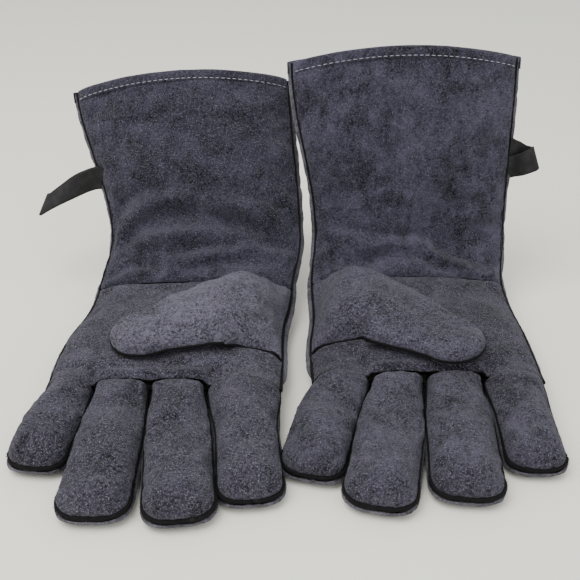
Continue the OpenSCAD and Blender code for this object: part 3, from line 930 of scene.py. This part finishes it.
def wing_points(glove, d, p):
    """Before the fold the leather runs down over the ball of the thumb to the side seam."""
    u = np.clip(-d / WING_REACH, 0, 1)
    s = WING_START / 2 + thumb_half(glove, np.minimum(d, 0), p) * p
    s = np.minimum(s, -0.6)
    seam_p = 1 - (1 - fold_p(glove, s)) * (1 - u)
    ground = sleeve(glove, s, seam_p, 1, 0.8)
    top = THUMB_SEAM + THUMB_T - THUMB_UNDER - sleeve(glove, s, fold_p(glove, s), 1)[..., 2]
    wing = ground.copy()
    wing[..., 2] += np.maximum(top, 4.0) * np.cos(u * np.pi / 2) ** 0.9 * bulge(p, 0.5)
    wing[..., 0] -= np.maximum(d, 0) * math.cos(math.radians(glove.turn))
    wing[..., 1] -= np.maximum(d, 0) * math.sin(math.radians(glove.turn))
    return wing


def fold_p(glove, s):
    return (fold_x(glove) - 1.0 - shift(glove, s)) / (half_width(s) + ball(s, 1.0))


def thumb_rows(glove, count, start):
    u = np.linspace(0, 1, count)
    length = glove.thumb_len
    straight = start + (length * 0.66 - start) * u / 0.66
    angle = np.clip((u - 0.66) / 0.34, 0, 1) * np.pi / 2
    return np.where(u < 0.66, straight, length * 0.66 + length * 0.34 * np.sin(angle))


def make_thumb(glove):
    sheets = []
    for side, part, start in ((1, "front", -WING_REACH), (-1, "back", 0.3)):
        d = thumb_rows(glove, 58 if side > 0 else 40, start)[:, None]
        p = across(38)[None, :]
        points = thumb_points(glove, d, p, side)
        if side > 0:
            away = smooth((1 - np.abs(p)) / 0.25) * smooth((glove.thumb_len - d) / 14)
            away = away * smooth((d + WING_REACH) / 10)
            soft = ripple(points, 28.0, glove.seed + 9) * 1.6 + ripple(points, 10.0, glove.seed + 8) * 0.5
            points[..., 2] += soft * away
        piece = new_sheet(f"{glove.name}_thumb_{part}_leather", glove.place(points))
        x, y = thumb_axis(glove, 30.0)
        face_towards(piece, glove.place([x, y, THUMB_SEAM - 4]))
        close_tip(piece)
        sheets.append((piece, part))
    relax([sheets[0][0]], 1.5, 0.04, 2.0)
    for piece, part in sheets:
        dress(piece, LEATHER if part == "front" else THIN_LEATHER, glove.seed + 15)
        key = f"{glove.name}_thumb" if part == "front" else "back"
        replaced = [f"{glove.name}_thumb_{part}"] + ([f"{glove.name}_thumb_wing"] if part == "front" else [])
        finish_piece(piece, material(key), "hand_leather", *replaced)
        blend_at_fold(glove, piece)


def blend_at_fold(glove, piece):
    start = glove.place([fold_x(glove) + 8, 0, 0])
    end = glove.place([fold_x(glove) - 14, 0, 0])
    glove.body("hand")
    glove.body("thumb")
    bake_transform(piece)


# ---- welts ----
def add_fuzz(mesh, roots, seed):
    """Loose fibres at the raw edge: each a thin spike from a root (place, outward direction), in metres."""
    random = np.random.default_rng(seed)
    for place, direction in roots:
        drift = random.normal(0, 0.55, 3)
        drift[2] = drift[2] * 0.7 - 0.25
        way = Vector(direction + drift).normalized()
        side = way.cross(Vector((0.3, 0.2, 1.0))).normalized() * 0.11 * MM
        lift = way.cross(side).normalized() * 0.11 * MM
        foot = Vector(place) - way * 0.6 * MM
        tip = foot + way * (0.6 + FIBRE_LEN * random.uniform(0.35, 1.0)) * MM
        tip.z = max(tip.z, 0.1 * MM)
        ring = [mesh.verts.new(foot + side), mesh.verts.new(foot - side * 0.5 + lift),
                mesh.verts.new(foot - side * 0.5 - lift)]
        end = mesh.verts.new(tip)
        for a in range(3):
            mesh.faces.new([ring[a], ring[(a + 1) % 3], end])
        mesh.faces.new(ring[::-1])


def closed_strip(name, points, fuzz=(), seed=0):
    """A strip of leather from its rings of points, in metres, closed round each ring and at both ends."""
    sheet = new_sheet(name, points)
    mesh = bmesh.new()
    mesh.from_mesh(sheet.data)
    mesh.verts.ensure_lookup_table()
    count, width = points.shape[:2]
    last = (count - 1) * width
    for a in range(0, last, width):
        b = a + width
        mesh.faces.new([mesh.verts[k] for k in (a, a + width - 1, b + width - 1, b)])
    mesh.faces.new([mesh.verts[k] for k in range(width)])
    mesh.faces.new([mesh.verts[last + k] for k in reversed(range(width))])
    add_fuzz(mesh, fuzz, seed)
    bmesh.ops.recalc_face_normals(mesh, faces=mesh.faces)
    mesh.to_mesh(sheet.data)
    mesh.free()
    smooth_shading(sheet, 60)
    return sheet


def strip_piece(name, inner, outer, thick, fuzz=(), seed=0):
    """A strip on edge in a level seam: inner and outer are lists of points, thick may change along it."""
    rows = []
    for a, b, t in zip(inner, outer, np.broadcast_to(np.asarray(thick, float), (len(inner),))):
        up = np.array([0, 0, t / 2])
        lip = (b - a) * 0.12
        rows.append([a + up, b - lip + up, b + up * 0.5, b - up * 0.5, b - lip - up, a - up])
    return closed_strip(name, np.array(rows), fuzz, seed)


def ragged(count, seed, amount, scale=6.0):
    """Uneven steps along the cut edge of a strip."""
    steps = [noise.fractal(Vector((i / scale, seed * 3.3, 0.5)), 0.8, 2.0, 3) for i in range(count)]
    return np.array(steps) * amount


def finger_welt(glove, finger, order):
    length = finger.length * FINGER_LEN
    d = finger_rows(finger, 60)
    runs = [(value, -1) for value in d] + [(value, 1) for value in d[::-1]]
    inner, outer, thick = [], [], []
    jitter = ragged(len(runs), glove.seed + order, 0.5)
    for index, (value, p) in enumerate(runs):
        seam_z, gap = finger_seam(finger, value)
        x0, y0 = finger_centre(glove, finger, value)
        skew = math.radians(finger.turn) * float(smooth(value / 30))
        half = float(finger_half(glove, finger, value))
        near_tip = float(smooth((value / length - 0.72) / 0.2))
        out_by = 0.2 + 0.8 * near_tip + jitter[index] * (0.3 + 1.2 * near_tip)
        normal = edge_normal(finger, value, p)
        base = np.array([x0 + half * p * math.cos(skew), y0 + half * p * math.sin(skew), float(seam_z)])
        inner.append(base - normal * 3.0)
        outer.append(base + normal * out_by)
        thick.append(float(gap) * 2 - 0.1 + 0.35 * near_tip + 0.6 * near_tip * jitter[-1 - index])
    inner, outer = glove.place(np.array(inner)), glove.place(np.array(outer))
    random = np.random.default_rng(glove.seed * 10 + order)
    fuzz = []
    for index in range(len(runs) - 1):
        near_tip = float(smooth((runs[index][0] / length - 0.5) / 0.3))
        for _ in range(int(1 + 5 * near_tip)):
            t = random.uniform(0, 1)
            way = (outer[index] - inner[index]) / np.linalg.norm(outer[index] - inner[index])
            height = random.uniform(-0.5, 0.5) * thick[index] * MM
            fuzz.append((outer[index] * (1 - t) + outer[index + 1] * t + np.array([0, 0, height]), way))
    piece = strip_piece(f"{glove.name}_{finger.name}_welt_strip", inner, outer, np.array(thick) * MM, fuzz,
                        glove.seed + order)
    keep_above_floor(piece)
    finish_piece(piece, material("welt"), "black_welt", f"{glove.name}_{finger.name}_welt")
    blend_at_knuckle(glove, finger, piece)


def make_finger_welts(glove):
    for order, finger in enumerate(glove.fingers):
        finger_welt(glove, finger, order)


def edge_normal(finger, d, p):
    """Outward direction in plan at a finger's seam."""
    length = finger.length * FINGER_LEN
    turn = math.radians(finger.turn)
    e, r = length - d, finger.width * FINGER_W / 2 * 0.8
    share = 0.0 if e >= r else 1 - max(e, 0) / r
    along, aside = share, math.sqrt(max(0.0, 1 - share * share)) * p
    return np.array([along * math.sin(turn) + aside * math.cos(turn),
                     -along * math.cos(turn) + aside * math.sin(turn), 0.0])


def thumb_welt(glove):
    """From the side seam along the edge towards the fingers, round the tip and back to the fold."""
    out = thumb_rows(glove, 74, -WING_REACH)
    back = thumb_rows(glove, 50, 0.3)[::-1]
    runs = [(value, -1) for value in out] + [(value, 1) for value in back]
    edge = []
    for value, p in runs:
        upper = thumb_points(glove, value, p * 0.9995, 1)
        edge.append(np.array([float(upper[0]), float(upper[1]), float(upper[2]) - SEAM]))
    edge = np.array(edge)
    along = np.gradient(edge, axis=0)
    along[:, 2] = 0
    along /= np.maximum(np.linalg.norm(along, axis=1, keepdims=True), 1e-6)
    normal = np.stack([-along[:, 1], along[:, 0], np.zeros(len(along))], -1)
    if (normal[20] @ np.array([0.0, -1.0, 0.0])) < 0:
        normal = -normal
    jitter = ragged(len(runs), glove.seed + 77, 0.4)
    inner = edge - normal * 2.6
    outer = edge + normal * (0.8 + jitter)[:, None]
    piece = strip_piece(f"{glove.name}_thumb_welt_strip", glove.place(inner), glove.place(outer),
                        (SEAM * 2 - 0.1) * MM)
    finish_piece(piece, material("welt"), "black_welt", f"{glove.name}_thumb_welt")
    blend_at_fold(glove, piece)


def side_strip(glove, name, p, start, end, count):
    """The welt of one side seam, on the side p, which is 1 or -1, from start to end along the spine."""
    s = np.linspace(start, end, count)
    y, z, slope = spine(glove, s)
    half = half_width(s) + ball(s, p)
    jitter = ragged(count, glove.seed + p * 5, 0.25)
    rows = []
    for i in range(count):
        up = np.array([0, -math.sin(slope[i]), math.cos(slope[i])]) * (SEAM - 0.05)
        x_in = float(shift(glove, s[i])) + p * (half[i] - 4.0)
        x_out = float(shift(glove, s[i])) + p * (half[i] + 0.3 + jitter[i])
        a, b = np.array([x_in, y[i], z[i]]), np.array([x_out, y[i], z[i]])
        rows.append([a + up, b + up * 0.9, b + np.array([p * 0.3, 0, 0]), b - up * 0.9, a - up])
    return closed_strip(name, glove.place(np.array(rows)))


def make_side_welts(glove):
    strips = [side_strip(glove, f"hand_strip_{p}", p, -HAND_LEN, -0.75, 80) for p in (-1, 1)]
    hand = join_pieces(strips, f"{glove.name}_hand_welt_strips")
    finish_piece(hand, material("welt"), "black_welt", f"{glove.name}_hand_welts")
    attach(hand, glove.body("hand"))
    strips = [side_strip(glove, f"cuff_strip_{p}", p, 0.75, hem_at(glove, p), 110) for p in (-1, 1)]
    cuff = join_pieces(strips, f"{glove.name}_cuff_welt_strips")
    finish_piece(cuff, material("welt"), "black_welt", f"{glove.name}_cuff_welts")
    blend_at_wrist(glove, cuff)


# ---- hem ----
def make_hem(glove):
    """The leather turned over at the mouth: a soft roll with a flat band below it."""
    bands = []
    for side in (1, -1):
        p = across(90) * 0.992
        profile = [(-HEM_BAND, 0.15), (-HEM_BAND + 0.5, 1.0), (-HEM_BAND * 0.5, 1.35), (-1.4, 1.5),
                   (0.2, 0.9), (0.9, -0.5), (0.6, -1.9), (-0.6, -2.9), (-HEM_BAND, -3.2)]
        rows = []
        for along, lift in profile:
            s = hem_at(glove, p) + along
            rows.append(sleeve(glove, s, p, side, side * lift * (0.35 + 0.65 * bulge(p, 0.3))))
        points = np.array(rows)
        points = points + ripple(points, 20.0, glove.seed + 60)[..., None] * np.array([0, 0.25, 0.2])
        band = new_sheet(f"band_{side}", glove.place(points))
        face_towards(band, panel_middle(glove, 150))
        give_thickness(band, HEM_LEATHER)
        bands.append(band)
    hem = join_pieces(bands, f"{glove.name}_turned_hem")
    smooth_shading(hem, 60)
    finish_piece(hem, material(f"{glove.name}_cuff"), "cuff_leather", f"{glove.name}_cuff_hem")
    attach(hem, glove.body("cuff"))


def make_stitches(glove):
    """A row of lockstitches just inside the turned edge, each a short thread that dips at both ends."""
    count = int((HEM_W - 8) / STITCH_PITCH)
    threads = []
    deselect_all()
    bpy.ops.mesh.primitive_uv_sphere_add(segments=8, ring_count=6, radius=0.5 * MM)
    bead = bpy.context.active_object
    for side in (1, -1):
        for p in (2 * np.arange(count + 1) / count - 1) * 0.965:
            lift = side * 1.25 * (0.35 + 0.65 * float(bulge(p, 0.3)))
            here, there = (Vector(glove.place(sleeve(glove, hem_at(glove, q) - STITCH_LINE, q, side, lift)))
                           for q in (p, p + 0.01))
            turn = (there - here).normalized().to_track_quat("X", "Z").to_matrix()
            copy = bead.copy()
            copy.data = bead.data.copy()
            bpy.context.scene.collection.objects.link(copy)
            for vertex in copy.data.vertices:
                vertex.co = turn @ (vertex.co * Vector((STITCH_LEN, STITCH_W, STITCH_T))) + here
            threads.append(copy)
    bpy.data.objects.remove(bead)
    stitches = join_pieces(threads, f"{glove.name}_hem_threads")
    smooth_shading(stitches, 60)
    finish_piece(stitches, material("thread"), "grey_thread", f"{glove.name}_hem_stitching")
    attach(stitches, glove.body("cuff"))


# ---- hanging loop ----
def make_loop(glove):
    """A folded strap. u runs along it from its foot in the seam, a little below 0, to its bight at 1."""
    root = Vector(JOINTS[f"{glove.name}_loop_turn"]["pos_m"])
    reach, droop = glove.reach * LOOP_LEN, glove.droop * LOOP_LEN
    run = np.linspace(-0.12, 1, 26)
    spread = LOOP_GAP * smooth(run * 1.6) + 0.3
    path = list(zip(run, -spread))
    for angle in np.radians(np.linspace(-60, 60, 7)):
        path.append((1 + math.cos(angle) * LOOP_GAP / reach * 0.6, LOOP_GAP * math.sin(angle)))
    path += list(zip(run[::-1], spread[::-1]))
    rows = []
    for u, side in path:
        twist = math.radians(38.0 * glove.reach) * float(smooth((u - 0.1) / 0.9))
        z = -droop * max(u, 0) ** 1.4 + glove.splay * (1 - max(u, 0)) * np.sign(side)
        centre = np.array([-u * reach, side * math.cos(twist * 0.5), z])
        up = np.array([math.sin(math.radians(20)) * min(1.0, max(u, 0)), math.sin(twist), math.cos(twist)])
        up = up / np.linalg.norm(up)
        rows.append([centre + up * v for v in np.linspace(-LOOP_W / 2, LOOP_W / 2, 9)])
    points = np.array(rows)
    points[..., 0] *= glove.flip
    points = points * MM + np.array(root)
    strap = new_sheet(f"{glove.name}_loop_strap", points)
    face_towards(strap, tuple(root - Vector((glove.flip * reach * 0.6 * MM, 0, 0.4 * droop * MM))))
    solid = strap.modifiers.new("strap", "SOLIDIFY")
    solid.thickness = LOOP_T * MM
    solid.offset = 1
    bevel = strap.modifiers.new("edge", "BEVEL")
    bevel.width = 0.3 * MM
    bevel.segments = 2
    bevel.limit_method = "ANGLE"
    apply_modifiers(strap)
    smooth_shading(strap, 50)
    finish_piece(strap, material("strap"), "black_strap", f"{glove.name}_hanging_loop")
    glove.body("cuff")
    glove.body("loop")
    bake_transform(strap)


# ---- the user's settings and the add-on's operators ----
def leather_color(name, description, default):
    return FloatVectorProperty(name=name, description=description, subtype="COLOR", default=default,
                               min=0, max=1)


class GloveFinish(PropertyGroup):
    cuff_color: leather_color("Cuff", "Colour of the cuffs' leather", (0.0370, 0.0345, 0.0535))
    hand_color: leather_color("Hand", "Colour of the hands' leather", (0.0437, 0.0405, 0.0585))
    thumb_color: leather_color("Thumb", "Colour of the paler thumb leather", (0.0905, 0.0850, 0.116))
    # Back: a paler colour, partly the leather's own tone and partly painted light on the rolled strip at the
    # sides.
    back_color_with_painted_light: leather_color("Back", "Colour of the leather on the back", (0.105, 0.101, 0.122))
    mottling: FloatProperty(name="Mottling", description="Strength of the cloudy patches", default=1.0,
                            min=0, max=2)
    nap: FloatProperty(name="Nap", description="Strength of the fibre speckle", default=1.0, min=0, max=2)


class GloveStep:
    """A step that runs its makers on each glove in turn"""

    def execute(self, context):
        for glove in GLOVES:
            for make in self.makers:
                make(glove)
        return {"FINISHED"}


class GLOVES_OT_hands(GloveStep, Operator):
    """Makes the palm and back leathers and the lining of both hands"""
    bl_idname = "gloves.hands"
    bl_label = "Hands"
    makers = (make_hands, make_lining)


class GLOVES_OT_thumbs(GloveStep, Operator):
    """Makes the wing thumbs"""
    bl_idname = "gloves.thumbs"
    bl_label = "Thumbs"
    makers = (make_thumb, thumb_welt)


class GLOVES_OT_fingers(GloveStep, Operator):
    """Makes the fingers with their welts"""
    bl_idname = "gloves.fingers"
    bl_label = "Fingers"
    makers = (make_fingers, make_finger_welts)


class GLOVES_OT_cuffs(GloveStep, Operator):
    """Makes the cuffs, their side welts, the turned hems and the stitches"""
    bl_idname = "gloves.cuffs"
    bl_label = "Cuffs"
    makers = (make_cuffs, make_side_welts, make_hem, make_stitches)


class GLOVES_OT_loops(GloveStep, Operator):
    """Makes the hanging loops"""
    bl_idname = "gloves.loops"
    bl_label = "Hanging loops"
    makers = (make_loop,)


class GLOVES_OT_stage(Operator):
    """Makes the floor, the studio light and the camera"""
    bl_idname = "gloves.stage"
    bl_label = "Stage"

    def execute(self, context):
        deselect_all()
        bpy.ops.mesh.primitive_grid_add(x_subdivisions=4, y_subdivisions=4, size=12)
        floor = context.active_object
        floor.name = "studio_floor"
        floor.data.materials.append(pale_surface("pale_floor", FLOOR_COLOR))
        world = bpy.data.worlds.new("studio") if context.scene.world is None else context.scene.world
        context.scene.world = world
        world.use_nodes = True
        background = world.node_tree.nodes["Background"]
        background.inputs["Color"].default_value = SKY_COLOR
        background.inputs["Strength"].default_value = SKY_STRENGTH
        add_light("key_light", (-0.55, -0.25, 1.35), (0.0, 0.0, 0.05), 1.1, 18.0, (1.0, 0.985, 0.945))
        add_light("fill_light", (1.1, -0.9, 0.9), (0.0, -0.05, 0.05), 1.2, 4.0, (0.95, 0.97, 1.0))
        camera_data = bpy.data.cameras.new("camera")
        camera = bpy.data.objects.new("camera", camera_data)
        context.scene.collection.objects.link(camera)
        camera.location = CAMERA_PLACE
        camera.rotation_euler = (math.radians(90 - CAMERA_DOWN), 0, 0)
        camera_data.sensor_width = 36.0
        camera_data.lens = CAMERA_LENS
        context.scene.camera = camera
        return {"FINISHED"}


def add_light(name, place, target, size, power, color):
    data = bpy.data.lights.new(name, "AREA")
    data.shape = "SQUARE"
    data.size = size
    data.energy = power
    data.color = color
    lamp = bpy.data.objects.new(name, data)
    bpy.context.scene.collection.objects.link(lamp)
    lamp.location = place
    lamp.rotation_euler = (Vector(target) - Vector(place)).to_track_quat("-Z", "Y").to_euler()


OPERATORS = (GLOVES_OT_hands, GLOVES_OT_thumbs, GLOVES_OT_fingers, GLOVES_OT_cuffs, GLOVES_OT_loops,
             GLOVES_OT_stage)


class GLOVES_PT_sidebar(Panel):
    """Lists the steps and the colours"""
    bl_idname = "GLOVES_PT_sidebar"
    bl_label = "Welding gloves"
    bl_space_type = "VIEW_3D"
    bl_region_type = "UI"
    bl_category = "Gloves"

    def draw(self, context):
        finish = context.scene.glove_finish
        for name in ("cuff_color", "hand_color", "thumb_color", "back_color_with_painted_light", "mottling", "nap"):
            self.layout.prop(finish, name)
        for operator in OPERATORS:
            self.layout.operator(operator.bl_idname)


CLASSES = (GloveFinish,) + OPERATORS + (GLOVES_PT_sidebar,)


def register():
    for item in CLASSES:
        bpy.utils.register_class(item)
    bpy.types.Scene.glove_finish = PointerProperty(type=GloveFinish)


def unregister():
    del bpy.types.Scene.glove_finish
    for item in reversed(CLASSES):
        bpy.utils.unregister_class(item)


def main():
    register()
    bpy.ops.gloves.stage()
    bpy.ops.gloves.hands()
    bpy.ops.gloves.thumbs()
    bpy.ops.gloves.fingers()
    bpy.ops.gloves.cuffs()
    bpy.ops.gloves.loops()


if __name__ == "__main__":
    main()
